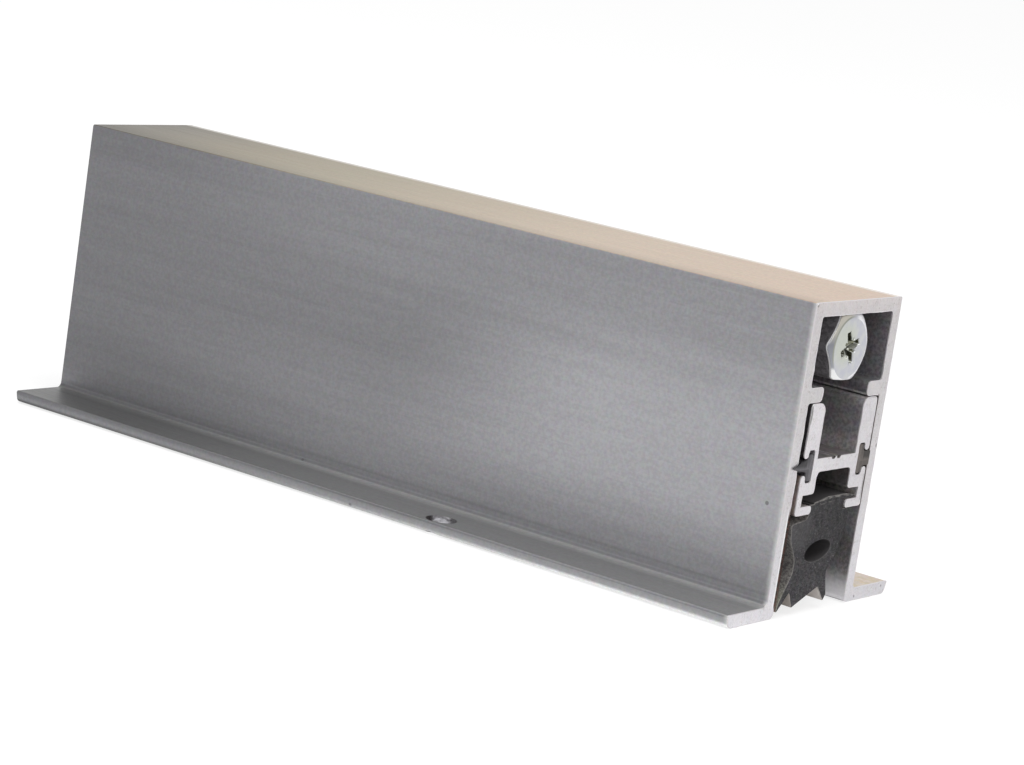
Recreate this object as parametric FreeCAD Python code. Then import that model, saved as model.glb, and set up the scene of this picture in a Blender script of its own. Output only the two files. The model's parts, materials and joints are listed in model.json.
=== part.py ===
import FreeCAD, Part
import math
import os
from FreeCAD import Vector

# Automatic door bottom seal, a short length as cut for a sample.
# Millimetres. X runs along the door's bottom edge with the plunger at +X, Y across the door, Z up.
# The origin is the middle of the footprint, level with the undersides of the flanges.

# Housing: an upside-down channel with two fixing flanges and a pair of ledges inside
housing_length = 115.0
housing_width = 20.0
housing_height = 38.0
wall_thickness = 1.7
roof_thickness = 1.7
flange_reach = 8.5
flange_thickness = 1.6
chamber_height = 8.5
ledge_thickness = 1.8
ledge_gap = 10.6
flange_hole_radius = 1.8
flange_hole_from_end = 43.8
flange_hole_from_wall = 6.1
cut_edge_radius = 0.25
flange_root_radius = 0.7
flange_tip_radius = 0.8
mouth_radius = 0.7
inner_corner_radius = 0.4
ledge_nose_radius = 0.6

# Drop bar: the carrier that slides down out of the housing
bar_projection = 0.25
bar_side_clearance = 0.7
bar_top_clearance = 0.1
bar_height = 13.5
upright_height = 6.8
upright_thickness = 3.1
upright_inner_radius = 1.2
upright_outer_radius = 0.5
web_thickness = 1.6
web_corner_radius = 0.7
leg_thickness = 3.65
drill_line_depth = 0.2
drill_line_spacing = 0.9

# Grooves in the drop bar's sides for the wiper strips
side_groove_below_top = 7.6
side_groove_height = 4.0
side_groove_depth = 2.4
side_groove_mouth = 2.1
side_lip_thickness = 1.0

# Slot in the drop bar's underside for the rubber seal
seal_slot_height = 1.45
seal_slot_wall = 1.05
seal_lip_thickness = 1.0
seal_lip_reach = 3.6
lip_rounding = 0.45

# Soft strips
soft_clearance = 0.15
soft_corner_radius = 0.3
soft_edge_radius = 0.15
wiper_stem_thickness = 1.6
pressed_stem_thickness = 1.8
wiper_base_height = 3.6
seal_projection = 0.1
seal_lift = 0.85
left_fin_droop = 0.45
head_arch_radius = 22.0
seal_hole_length = 5.6
seal_hole_height = 2.3
seal_hole_rise = 0.56
seal_hole_tilt = 16.0

# Travel
plunger_stroke = 5.0
seal_drop = 8.0

# Adjusting screw: the hexagon head that the door frame pushes
screw_setback = 0.44
head_across_flats = 8.0
head_length = 5.0
head_roof_clearance = 0.1
head_face_radius = 3.9
head_chamfer_angle = 30.0
screw_radius = 2.5
screw_end_chamfer = 0.5
screw_engagement = 9.0
recess_wing = 4.2
recess_width = 1.1
recess_tick = 2.3
recess_tick_width = 0.55
recess_taper = 0.55
recess_depth = 2.1
recess_turn = 24.0
quarter_turn = 90.0
lock_nut_length = 2.7

# Blocks in the upper chamber
running_clearance = 0.05
seat_clearance = 0.1
slide_clearance = 0.15
block_edge_radius = 0.6
guide_block_length = 10.0
slide_block_length = 12.7
anchor_block_length = 15.0
anchor_setback = 3.2
bar_inner_clearance = 0.35
finger_foot_clearance = 0.3
finger_length = 6.0
finger_from_block_end = 1.2
finger_edge_radius = 0.8
set_screw_radius = 1.25
set_screw_length = 7.0
set_screw_offset = 4.4
set_screw_key = 1.3
set_screw_key_depth = 2.0
set_screw_from_block_end = 2.0

# Guide pins riveted in the drop bar's web
guide_pin_radius = 1.5
guide_pin_height = 9.5
guide_pin_head_radius = 2.4
guide_pin_head_height = 0.8
guide_pin_chamfer = 0.4

# Bow spring and what carries it
spring_sag = 3.0
spring_thickness = 0.5
spring_pin_radius = 1.0
spring_pin_below_chamber = 1.8
lug_thickness = 1.3
lug_side_clearance = 0.2
lug_wall = 0.8
lug_rounding = 0.95
front_lug_from_block_end = 2.7
rear_lug_from_block_end = 4.5

# Saddle on the web that the middle of the spring runs through
saddle_length = 16.0
saddle_crown = 0.5
saddle_edge_radius = 0.3
cheek_length = 6.0
cheek_cover = 0.6
cheek_rounding = 0.3
keeper_pin_radius = 0.75
spring_play = 0.25
saddle_screw_radius = 1.25
saddle_screw_head_radius = 2.2
saddle_screw_head_height = 1.2
saddle_screw_spacing = 12.0
saddle_screw_engagement = 1.2

# Places that follow from the sizes above
near_end = (housing_length - bar_projection) / 2
far_end = near_end - housing_length
half_width = housing_width / 2
chamber_half = half_width - wall_thickness
roof_underside = housing_height - roof_thickness
ledge_top = roof_underside - chamber_height
ledge_underside = ledge_top - ledge_thickness
flange_edge = half_width + flange_reach
bar_near = near_end + bar_projection
bar_far = bar_near - housing_length
bar_half = chamber_half - bar_side_clearance
bar_top = ledge_underside - bar_top_clearance
bar_bottom = bar_top - bar_height
upright_inner = bar_half - upright_thickness
between_uprights = upright_inner - bar_inner_clearance
web_top = bar_top - upright_height
web_underside = web_top - web_thickness
screw_axis = roof_underside - head_roof_clearance - head_across_flats / 2
head_face = near_end - screw_setback
head_back = head_face - head_length
guide_block_front = head_back - plunger_stroke - seat_clearance
guide_block_back = guide_block_front - guide_block_length
nut_front = guide_block_back - seat_clearance
slide_block_front = nut_front - lock_nut_length
slide_block_back = slide_block_front - slide_block_length
anchor_block_back = far_end + anchor_setback
anchor_block_front = anchor_block_back + anchor_block_length
front_spring_pin_x = slide_block_back + front_lug_from_block_end
rear_spring_pin_x = anchor_block_front - rear_lug_from_block_end
spring_pin_height = ledge_top - spring_pin_below_chamber
spring_half_width = between_uprights - lug_thickness - lug_side_clearance
lug_radius = spring_pin_radius + running_clearance + lug_wall
finger_foot = web_top + finger_foot_clearance
front_guide_pin_x = guide_block_front - finger_from_block_end - finger_length / 2
rear_guide_pin_x = anchor_block_back + finger_from_block_end + finger_length / 2
eye_radius = spring_pin_radius + running_clearance + spring_thickness
spring_end_height = spring_pin_height - eye_radius
spring_middle_height = spring_end_height - spring_sag
saddle_x = (front_spring_pin_x + rear_spring_pin_x - plunger_stroke / 2) / 2
saddle_top = spring_middle_height - spring_play
keeper_pin_height = spring_middle_height + spring_thickness + spring_play + keeper_pin_radius
side_groove_centre = bar_top - side_groove_below_top
side_groove_inner = bar_half - side_groove_depth
seal_slot_floor = bar_bottom + seal_lip_thickness
seal_slot_half = bar_half - seal_slot_wall
seal_mouth_half = bar_half - seal_lip_reach


def yz(u, v):
    """Point of a section across the door."""
    return Vector(0, u, v)


def xz(u, v):
    """Point of a section along the door."""
    return Vector(u, 0, v)


def unit(vector):
    return vector * (1.0 / vector.Length)


def rounded_face(corners, place):
    """Flat face through (u, v, radius) corners, each corner rounded by its own radius."""
    runs = []
    for index, (u, v, radius) in enumerate(corners):
        corner = place(u, v)
        before = unit(place(*corners[index - 1][:2]) - corner)
        after = unit(place(*corners[(index + 1) % len(corners)][:2]) - corner)
        if radius == 0:
            runs.append((corner, None, corner))
            continue
        half_angle = before.getAngle(after) / 2
        reach = radius / math.tan(half_angle)
        crown = radius / math.sin(half_angle) - radius
        runs.append((corner + before * reach, corner + unit(before + after) * crown, corner + after * reach))
    edges = []
    for index, (start, middle, end) in enumerate(runs):
        if middle is not None:
            edges.append(Part.Arc(start, middle, end).toShape())
        following = runs[(index + 1) % len(runs)][0]
        if (following - end).Length > 1e-6:
            edges.append(Part.LineSegment(end, following).toShape())
    return Part.Face(Part.Wire(edges))


def along_x(face, x_from, x_to):
    """Runs a section across the door from one place to another."""
    moved = face.copy()
    moved.translate(Vector(x_from, 0, 0))
    return moved.extrude(Vector(x_to - x_from, 0, 0))


def across_y(face, y_from, y_to):
    """Runs a section along the door across from one side to the other."""
    moved = face.copy()
    moved.translate(Vector(0, y_from, 0))
    return moved.extrude(Vector(0, y_to - y_from, 0))


def both_sides(half):
    """Closes a right-hand outline with its mirror image."""
    return half + [(-u, v, radius) for u, v, radius in reversed(half)]


def rod_x(radius, x_from, x_to, y, z):
    return Part.makeCylinder(radius, x_to - x_from, Vector(x_from, y, z), Vector(1, 0, 0))


def rod_y(radius, y_from, y_to, x, z):
    return Part.makeCylinder(radius, y_to - y_from, Vector(x, y_from, z), Vector(0, 1, 0))


def rod_z(radius, z_from, z_to, x, y):
    return Part.makeCylinder(radius, z_to - z_from, Vector(x, y, z_from), Vector(0, 0, 1))


def cone_x(radius_from, radius_to, x_from, x_to):
    """Cone on the screw's axis."""
    start = Vector(x_from, 0, screw_axis)
    return Part.makeCone(radius_from, radius_to, x_to - x_from, start, Vector(1, 0, 0))


def screw_bore(x_from, x_to):
    return rod_x(screw_radius + running_clearance, x_from, x_to, 0, screw_axis)


def hexagon(across_flats, x_from, x_to, z):
    """Hexagon prism along X with one flat up."""
    corner_radius = across_flats / math.sqrt(3)
    corners = []
    for step in range(6):
        angle = math.radians(60 * step)
        corners.append((corner_radius * math.cos(angle), z + corner_radius * math.sin(angle), 0))
    return along_x(rounded_face(corners, yz), x_from, x_to)


def housing():
    """Extruded channel: roof, walls, fixing flanges at the foot and ledges under the upper chamber."""
    half = [
        (half_width, housing_height, cut_edge_radius),
        (half_width, flange_thickness, flange_root_radius),
        (flange_edge, flange_thickness, cut_edge_radius),
        (flange_edge - flange_tip_radius / 2, 0, flange_tip_radius),
        (chamber_half, 0, mouth_radius),
        (chamber_half, ledge_underside, inner_corner_radius),
        (ledge_gap / 2, ledge_underside, ledge_nose_radius),
        (ledge_gap / 2, ledge_top, ledge_nose_radius),
        (chamber_half, ledge_top, inner_corner_radius),
        (chamber_half, roof_underside, inner_corner_radius),
    ]
    solid = along_x(rounded_face(both_sides(half), yz), far_end, near_end)
    hole_x = near_end - flange_hole_from_end
    hole_y = half_width + flange_hole_from_wall
    for y in (-hole_y, hole_y):
        solid = solid.cut(rod_z(flange_hole_radius, -1, flange_thickness + 1, hole_x, y))
    return solid


def drop_bar():
    """Extruded carrier of H section with a seal slot below, wiper grooves in its sides and drilled web."""
    groove_low = side_groove_centre - side_groove_height / 2
    groove_high = side_groove_centre + side_groove_height / 2
    mouth_low = side_groove_centre - side_groove_mouth / 2
    mouth_high = side_groove_centre + side_groove_mouth / 2
    lip_inner = bar_half - side_lip_thickness
    slot_ceiling = seal_slot_floor + seal_slot_height
    leg_inner = bar_half - leg_thickness
    half = [
        (drill_line_spacing / 2 - drill_line_depth, web_top, 0),
        (drill_line_spacing / 2, web_top - drill_line_depth, 0),
        (drill_line_spacing / 2 + drill_line_depth, web_top, 0),
        (upright_inner, web_top, 0),
        (upright_inner, bar_top, upright_inner_radius),
        (bar_half, bar_top, upright_outer_radius),
        (bar_half, mouth_high, side_lip_thickness * lip_rounding),
        (lip_inner, mouth_high, side_lip_thickness * lip_rounding),
        (lip_inner, groove_high, inner_corner_radius),
        (side_groove_inner, groove_high, inner_corner_radius),
        (side_groove_inner, groove_low, inner_corner_radius),
        (lip_inner, groove_low, inner_corner_radius),
        (lip_inner, mouth_low, side_lip_thickness * lip_rounding),
        (bar_half, mouth_low, side_lip_thickness * lip_rounding),
        (bar_half, bar_bottom, inner_corner_radius),
        (seal_mouth_half, bar_bottom, seal_lip_thickness * lip_rounding),
        (seal_mouth_half, seal_slot_floor, seal_lip_thickness * lip_rounding),
        (seal_slot_half, seal_slot_floor, 0),
        (seal_slot_half, slot_ceiling, 0),
        (leg_inner, slot_ceiling, inner_corner_radius),
        (leg_inner, web_underside, web_corner_radius),
    ]
    solid = along_x(rounded_face(both_sides(half), yz), bar_far, bar_near)
    pins = [(x, guide_pin_radius) for x in (front_guide_pin_x, rear_guide_pin_x)]
    screws = [(x, saddle_screw_radius) for x in saddle_screw_places()]
    for x, radius in pins + screws:
        solid = solid.cut(rod_z(radius + running_clearance, web_underside - 1, web_top + 1, x, 0))
    return solid


def rubber_seal():
    """Soft extrusion that leans to the left: arched head in the slot, hollow body and three fins."""
    head_bottom = seal_slot_floor + soft_clearance / 2
    head_half = seal_slot_half - soft_clearance
    neck = seal_mouth_half - soft_clearance
    shoulder = bar_bottom - soft_clearance
    foot = seal_lift
    body = shoulder - foot
    flank_curve = body * 0.22
    waist_curve = body * 0.15
    fin_curve = body * 0.1
    notch_curve = body * 0.05
    section = rounded_face([
        # Head held in the slot, arched over its left half
        (-neck - 0.7, head_bottom, soft_edge_radius),
        (-neck - 0.6, head_bottom + 0.4, soft_edge_radius),
        (neck - 2.4, head_bottom + 1.25, head_arch_radius),
        (head_half, head_bottom + 0.45, soft_corner_radius),
        (head_half, head_bottom, soft_edge_radius),
        (neck, head_bottom, 0),
        (neck, shoulder, 0),
        # Right flank
        (neck + 2.2, shoulder, fin_curve),
        (neck + 1.5, foot + body * 0.79, flank_curve),
        (neck + 0.5, foot + body * 0.53, flank_curve),
        # Right fin
        (neck - 1.4, foot + body * 0.33, fin_curve),
        (neck - 0.4, foot + body * 0.07, notch_curve),
        (neck - 0.95, foot, soft_edge_radius),
        (neck - 1.9, foot + body * 0.09, notch_curve),
        (neck - 2.75, foot + body * 0.17, notch_curve / 2),
        # Middle fin
        (-neck - 0.5, foot, soft_edge_radius),
        (-neck - 1.65, foot + body * 0.17, soft_edge_radius),
        # Left fin
        (-neck - 3.0, foot + body * 0.06, flank_curve),
        (-neck - 4.15, foot - left_fin_droop, soft_edge_radius),
        (-neck - 3.8, foot + body * 0.09, fin_curve),
        (-neck - 1.55, foot + body * 0.36, waist_curve),
        # Left flank
        (-neck - 1.55, foot + body * 0.52, waist_curve),
        (-neck - 3.4, foot + body * 0.78, fin_curve),
        (-neck - 3.6, foot + body * 0.92, notch_curve),
        (-neck, shoulder, 0),
        (-neck, head_bottom, 0),
    ], yz)
    tilt = math.radians(seal_hole_tilt)
    long_axis = yz(math.cos(tilt), math.sin(tilt))
    short_axis = yz(-math.sin(tilt), math.cos(tilt))
    centre = yz(0, foot + body * seal_hole_rise)
    ellipse = Part.Ellipse(
        centre + long_axis * (seal_hole_length / 2), centre + short_axis * (seal_hole_height / 2), centre
    )
    section = section.cut(Part.Face(Part.Wire([ellipse.toShape()])))
    return along_x(section.Faces[0], bar_far, near_end + seal_projection)


def wiper_strip(side, stem_thickness):
    """Soft strip: a flat base held in a side groove and a fin that sweeps the housing's wall."""
    base_inner = side_groove_inner + soft_clearance
    base_outer = bar_half - side_lip_thickness - soft_clearance
    fin_end = chamber_half - soft_clearance
    base_low = side_groove_centre - wiper_base_height / 2
    base_high = side_groove_centre + wiper_base_height / 2
    stem_low = side_groove_centre - stem_thickness / 2
    stem_high = side_groove_centre + stem_thickness / 2
    corners = [
        (side * base_inner, base_low, soft_corner_radius),
        (side * base_outer, base_low, soft_corner_radius),
        (side * base_outer, stem_low, 0),
        (side * fin_end, stem_low, soft_edge_radius),
        (side * fin_end, stem_high, soft_edge_radius),
        (side * base_outer, stem_high, 0),
        (side * base_outer, base_high, soft_corner_radius),
        (side * base_inner, base_high, soft_corner_radius),
    ]
    return along_x(rounded_face(corners, yz), bar_far, bar_near)


def adjusting_screw():
    """Hexagon-head screw with a cross recess; its upper flat runs under the roof."""
    head = hexagon(head_across_flats, head_back, head_face, screw_axis)
    spread = head_length / math.tan(math.radians(head_chamfer_angle))
    screw_end = slide_block_front - screw_engagement
    shank = rod_x(screw_radius, screw_end + screw_end_chamfer, head_back, 0, screw_axis)
    tip = cone_x(screw_radius - screw_end_chamfer, screw_radius, screw_end, screw_end + screw_end_chamfer)
    chamfered_head = head.common(cone_x(head_face_radius + spread, head_face_radius, head_back, head_face))
    solid = chamfered_head.fuse([shank, tip])
    for turn in (recess_turn, recess_turn + quarter_turn):
        solid = solid.cut(recess_pair(turn, recess_wing, recess_width))
        solid = solid.cut(recess_pair(turn + quarter_turn / 2, recess_tick, recess_tick_width))
    return solid.removeSplitter()


def recess_pair(turn, span, width):
    """Two opposite wings of the cross recess, narrowing with depth."""
    sections = []
    for depth, share in ((0, 1), (recess_depth, recess_taper)):
        u = span / 2 * share
        v = width / 2 * (1 + share) / 2
        corners = [Vector(head_face - depth, a, b) for a, b in ((-u, -v), (u, -v), (u, v), (-u, v))]
        sections.append(Part.makePolygon(corners + corners[:1]))
    wings = Part.makeLoft(sections, True)
    wings.rotate(Vector(0, 0, 0), Vector(1, 0, 0), turn)
    wings.translate(Vector(0, 0, screw_axis))
    return wings


def lock_nut():
    """Thin hexagon nut that locks the screw against the slide block."""
    nut = hexagon(head_across_flats, slide_block_front, nut_front, screw_axis)
    spread = lock_nut_length / math.tan(math.radians(head_chamfer_angle))
    nut = nut.common(cone_x(head_face_radius + spread, head_face_radius, slide_block_front, nut_front))
    return nut.cut(screw_bore(slide_block_front - 1, nut_front + 1))


def chamber_block(x_from, x_to, side_gap, floor_gap, roof_gap):
    """Block that fills the upper chamber between the ledges and the roof."""
    half = [
        (chamber_half - side_gap, ledge_top + floor_gap, block_edge_radius),
        (chamber_half - side_gap, roof_underside - roof_gap, block_edge_radius),
    ]
    return along_x(rounded_face(both_sides(half), yz), x_from, x_to)


def guide_finger(x_from, x_to):
    """Tongue that reaches down between the ledges and the drop bar's uprights."""
    half = [
        (between_uprights, finger_foot, finger_edge_radius),
        (between_uprights, ledge_top + block_edge_radius, 0),
    ]
    return along_x(rounded_face(both_sides(half), yz), x_from, x_to)


def guide_pin_bore(x):
    """Blind bore up the finger that takes a guide pin of the drop bar."""
    top = web_top + guide_pin_height + finger_foot_clearance
    return rod_z(guide_pin_radius + running_clearance, finger_foot - 1, top, x, 0)


def set_screw_bore(x, side):
    y = side * set_screw_offset
    return rod_z(set_screw_radius + running_clearance, ledge_top - 1, roof_underside + 1, x, y)


def guide_block_set_screw_x():
    return guide_block_back + set_screw_from_block_end


def anchor_set_screw_x():
    return anchor_block_front - set_screw_from_block_end


def guide_block():
    """Moulded block fixed near the plunger's end: bore for the screw, finger and bore for the drop bar."""
    block = chamber_block(guide_block_back, guide_block_front, seat_clearance, 0, seat_clearance)
    finger_front = guide_block_front - finger_from_block_end
    block = block.fuse(guide_finger(finger_front - finger_length, finger_front))
    block = block.cut(screw_bore(guide_block_back - 1, guide_block_front + 1))
    block = block.cut(guide_pin_bore(front_guide_pin_x))
    return block.cut(set_screw_bore(guide_block_set_screw_x(), 1)).removeSplitter()


def spring_lugs(x):
    """Pair of ears below a block that hold a spring pin."""
    reach = lug_radius - running_clearance
    corners = [
        (x - reach, spring_pin_height - reach, reach * lug_rounding),
        (x + reach, spring_pin_height - reach, reach * lug_rounding),
        (x + reach, ledge_top + block_edge_radius, 0),
        (x - reach, ledge_top + block_edge_radius, 0),
    ]
    starts = (-between_uprights, between_uprights - lug_thickness)
    return [across_y(rounded_face(corners, xz), y, y + lug_thickness) for y in starts]


def spring_pin_bore(x):
    return rod_y(spring_pin_radius + running_clearance, -half_width, half_width, x, spring_pin_height)


def slide_block():
    """Block that the screw pushes along the chamber, with ears for the moving end of the spring."""
    gap = slide_clearance
    block = chamber_block(slide_block_back, slide_block_front, gap, gap, gap)
    block = block.fuse(spring_lugs(front_spring_pin_x))
    bore_end = slide_block_front - screw_engagement - screw_end_chamfer
    block = block.cut(screw_bore(bore_end, slide_block_front + 1))
    return block.cut(spring_pin_bore(front_spring_pin_x)).removeSplitter()


def anchor_block():
    """Cast block fixed near the far end: ears for the fixed end of the spring, finger for the drop bar."""
    block = chamber_block(anchor_block_back, anchor_block_front, seat_clearance, 0, seat_clearance)
    finger_back = anchor_block_back + finger_from_block_end
    finger = guide_finger(finger_back, finger_back + finger_length)
    block = block.fuse(spring_lugs(rear_spring_pin_x) + [finger])
    block = block.cut(guide_pin_bore(rear_guide_pin_x))
    block = block.cut(spring_pin_bore(rear_spring_pin_x))
    for side in (-1, 1):
        block = block.cut(set_screw_bore(anchor_set_screw_x(), side))
    return block.removeSplitter()


def set_screw(x, side):
    """Headless screw that jacks its block down on the ledges by pressing on the roof."""
    low = roof_underside - set_screw_length
    screw = rod_z(set_screw_radius, low, roof_underside, x, side * set_screw_offset)
    corner_radius = set_screw_key / math.sqrt(3)
    place = Vector(x, side * set_screw_offset, low)
    turns = [math.radians(60 * step) for step in range(6)]
    corners = [place + Vector(math.cos(turn), math.sin(turn), 0) * corner_radius for turn in turns]
    socket = Part.Face(Part.makePolygon(corners + corners[:1])).extrude(Vector(0, 0, set_screw_key_depth))
    return screw.cut(socket)


def spring_pin(x):
    """Cross pin held in a pair of ears, through an eye of the spring."""
    return rod_y(spring_pin_radius, -between_uprights, between_uprights, x, spring_pin_height)


def bow_points(lift):
    """Far end, middle and near end of the bowed leaf's underside, raised by a height."""
    return [
        xz(rear_spring_pin_x, spring_end_height + lift),
        xz((front_spring_pin_x + rear_spring_pin_x) / 2, spring_middle_height + lift),
        xz(front_spring_pin_x, spring_end_height + lift),
    ]


def bow_spring():
    """Leaf of spring steel, bowed downwards, with an eye rolled at each end."""
    low_far, low_middle, low_near = bow_points(0)
    high_far, high_middle, high_near = bow_points(spring_thickness)
    outline = Part.Wire([
        Part.Arc(low_far, low_middle, low_near).toShape(),
        Part.LineSegment(low_near, high_near).toShape(),
        Part.Arc(high_near, high_middle, high_far).toShape(),
        Part.LineSegment(high_far, low_far).toShape(),
    ])
    solid = across_y(Part.Face(outline), -spring_half_width, spring_half_width)
    for x in (front_spring_pin_x, rear_spring_pin_x):
        solid = solid.fuse(rod_y(eye_radius, -spring_half_width, spring_half_width, x, spring_pin_height))
    for x in (front_spring_pin_x, rear_spring_pin_x):
        solid = solid.cut(spring_pin_bore(x))
    return solid.removeSplitter()


def saddle_screw_places():
    return [saddle_x - saddle_screw_spacing / 2, saddle_x + saddle_screw_spacing / 2]


def saddle():
    """Moulded pad on the web with a crowned top and two cheeks beside the spring."""
    half_length = saddle_length / 2
    crown_radius = (half_length ** 2 + saddle_crown ** 2) / (2 * saddle_crown)
    corners = [
        (saddle_x - half_length, web_top, 0),
        (saddle_x + half_length, web_top, 0),
        (saddle_x + half_length, saddle_top - saddle_crown, saddle_edge_radius),
        (saddle_x, saddle_top + saddle_crown * 0.9, crown_radius * 0.8),
        (saddle_x - half_length, saddle_top - saddle_crown, saddle_edge_radius),
    ]
    pad = across_y(rounded_face(corners, xz), -between_uprights, between_uprights)
    cheek_top = keeper_pin_height + keeper_pin_radius + cheek_cover
    cheek = [
        (saddle_x - cheek_length / 2, web_top, 0),
        (saddle_x + cheek_length / 2, web_top, 0),
        (saddle_x + cheek_length / 2, cheek_top, cheek_length * cheek_rounding),
        (saddle_x - cheek_length / 2, cheek_top, cheek_length * cheek_rounding),
    ]
    inner = spring_half_width + lug_side_clearance
    sides = ((-between_uprights, -inner), (inner, between_uprights))
    cheeks = [across_y(rounded_face(cheek, xz), y_from, y_to) for y_from, y_to in sides]
    keeper_bore_radius = keeper_pin_radius + running_clearance
    solid = pad.fuse(cheeks)
    solid = solid.cut(rod_y(keeper_bore_radius, -half_width, half_width, saddle_x, keeper_pin_height))
    bore_top = web_top + saddle_screw_engagement
    for x in saddle_screw_places():
        solid = solid.cut(rod_z(saddle_screw_radius + running_clearance, web_top - 1, bore_top, x, 0))
    return solid.removeSplitter()


def keeper_pin():
    """Cross pin over the spring's middle, held in the saddle's cheeks."""
    return rod_y(keeper_pin_radius, -between_uprights, between_uprights, saddle_x, keeper_pin_height)


def saddle_screw(x):
    """Flat-headed screw up through the web into the saddle."""
    shank_top = web_top + saddle_screw_engagement - running_clearance
    head_low = web_underside - saddle_screw_head_height
    shank = rod_z(saddle_screw_radius, head_low + saddle_screw_head_height / 2, shank_top, x, 0)
    head = rod_z(saddle_screw_head_radius, head_low, web_underside, x, 0)
    return head.fuse(shank).removeSplitter()


def guide_pin(x):
    """Vertical pin riveted in the web, running in a finger's bore."""
    head_low = web_underside - guide_pin_head_height
    top = web_top + guide_pin_height
    shoulder = top - guide_pin_chamfer
    tip_radius = guide_pin_radius - guide_pin_chamfer
    pin = rod_z(guide_pin_radius, head_low, shoulder, x, 0)
    point = Part.makeCone(guide_pin_radius, tip_radius, guide_pin_chamfer, Vector(x, 0, shoulder))
    head = rod_z(guide_pin_head_radius, head_low, web_underside, x, 0)
    return pin.fuse([point, head]).removeSplitter()


def sub_parts():
    """Every separate piece under the name of its node."""
    front_screw_x, rear_screw_x = reversed(saddle_screw_places())
    return {
        "housing": housing(),
        "drop_bar": drop_bar(),
        "rubber_seal": rubber_seal(),
        "left_wiper_strip": wiper_strip(-1, wiper_stem_thickness),
        "right_wiper_strip": wiper_strip(1, pressed_stem_thickness),
        "adjusting_screw": adjusting_screw(),
        "lock_nut": lock_nut(),
        "slide_block": slide_block(),
        "front_spring_pin": spring_pin(front_spring_pin_x),
        "bow_spring": bow_spring(),
        "rear_spring_pin": spring_pin(rear_spring_pin_x),
        "guide_block": guide_block(),
        "guide_block_set_screw": set_screw(guide_block_set_screw_x(), 1),
        "anchor_block": anchor_block(),
        "left_anchor_set_screw": set_screw(anchor_set_screw_x(), -1),
        "right_anchor_set_screw": set_screw(anchor_set_screw_x(), 1),
        "saddle": saddle(),
        "keeper_pin": keeper_pin(),
        "front_saddle_screw": saddle_screw(front_screw_x),
        "rear_saddle_screw": saddle_screw(rear_screw_x),
        "front_guide_pin": guide_pin(front_guide_pin_x),
        "rear_guide_pin": guide_pin(rear_guide_pin_x),
    }


os.makedirs("parts", exist_ok=True)
for node, shape in sub_parts().items():
    shape.exportStep("parts/" + node + ".step")
    box = shape.BoundBox
    print(node, len(shape.Solids), shape.isValid(), round(shape.Volume, 2), [
        round(value, 2) for value in (box.XMin, box.XMax, box.YMin, box.YMax, box.ZMin, box.ZMax)
    ])
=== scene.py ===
import json
import math
import random

import bmesh
import bpy
from mathutils import Matrix, Vector, noise
from mathutils.geometry import delaunay_2d_cdt


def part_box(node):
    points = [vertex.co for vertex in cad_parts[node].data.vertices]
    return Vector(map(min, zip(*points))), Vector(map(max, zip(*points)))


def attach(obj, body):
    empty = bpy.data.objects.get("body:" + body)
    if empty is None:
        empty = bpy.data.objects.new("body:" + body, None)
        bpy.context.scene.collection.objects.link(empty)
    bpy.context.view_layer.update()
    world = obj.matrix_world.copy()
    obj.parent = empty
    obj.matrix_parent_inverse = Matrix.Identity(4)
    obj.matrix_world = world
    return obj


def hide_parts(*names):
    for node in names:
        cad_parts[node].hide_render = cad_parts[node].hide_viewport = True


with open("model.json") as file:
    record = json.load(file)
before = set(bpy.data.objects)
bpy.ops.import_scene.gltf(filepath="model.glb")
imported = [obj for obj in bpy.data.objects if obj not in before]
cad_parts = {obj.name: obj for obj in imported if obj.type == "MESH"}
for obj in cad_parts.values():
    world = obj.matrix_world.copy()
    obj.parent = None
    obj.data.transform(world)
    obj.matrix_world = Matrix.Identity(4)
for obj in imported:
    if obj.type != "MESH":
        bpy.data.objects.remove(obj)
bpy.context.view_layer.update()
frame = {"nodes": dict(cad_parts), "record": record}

# Looks of a short length of automatic door bottom seal.
# Outlines are in millimetres, as the part is drawn: X along the door, Y across it, Z up.
MM = 0.001

# Places that the looks share with the part
housing_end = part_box("housing")[1][0] / MM
flange_edge = -18.5
roof_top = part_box("housing")[1][2] / MM
wall_face = 10.0
inner_wall = 8.3
mouth_x = 57.3
ledge_low, ledge_high = 26.0, 27.8
holes = frame["record"]["mounts"][0]
hole_place = (holes["pos_m"][0] / MM, -holes["dims"]["spacing_y_mm"] / 2, 0)
bar_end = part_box("drop_bar")[1][0] / MM
bar_far_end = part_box("drop_bar")[0][0] / MM
bar_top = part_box("drop_bar")[1][2] / MM
web_top = 19.1
seal_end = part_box("rubber_seal")[1][0] / MM
seal_hole_middle = (-0.38, 7.48)
screw_axis = 32.2
shank_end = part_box("adjusting_screw")[0][0] / MM
head_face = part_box("adjusting_screw")[1][0] / MM
head_back = head_face - 5.0
head_middle = (0.24, 32.05)
head_radius = 3.74

# Axes that a distance is measured along, seen from above or end on
FROM_ABOVE = (1, 1, 0)
END_ON = (0, 1, 1)


# Colour helpers

def linear(value):
    """Linear share of light for a grey level from 0 to 255."""
    share = value / 255
    return share / 12.92 if share <= 0.04045 else ((share + 0.055) / 1.055) ** 2.4


def colour(red, green, blue):
    return (linear(red), linear(green), linear(blue), 1.0)


def grey(value):
    return colour(value, value, value)


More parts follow.
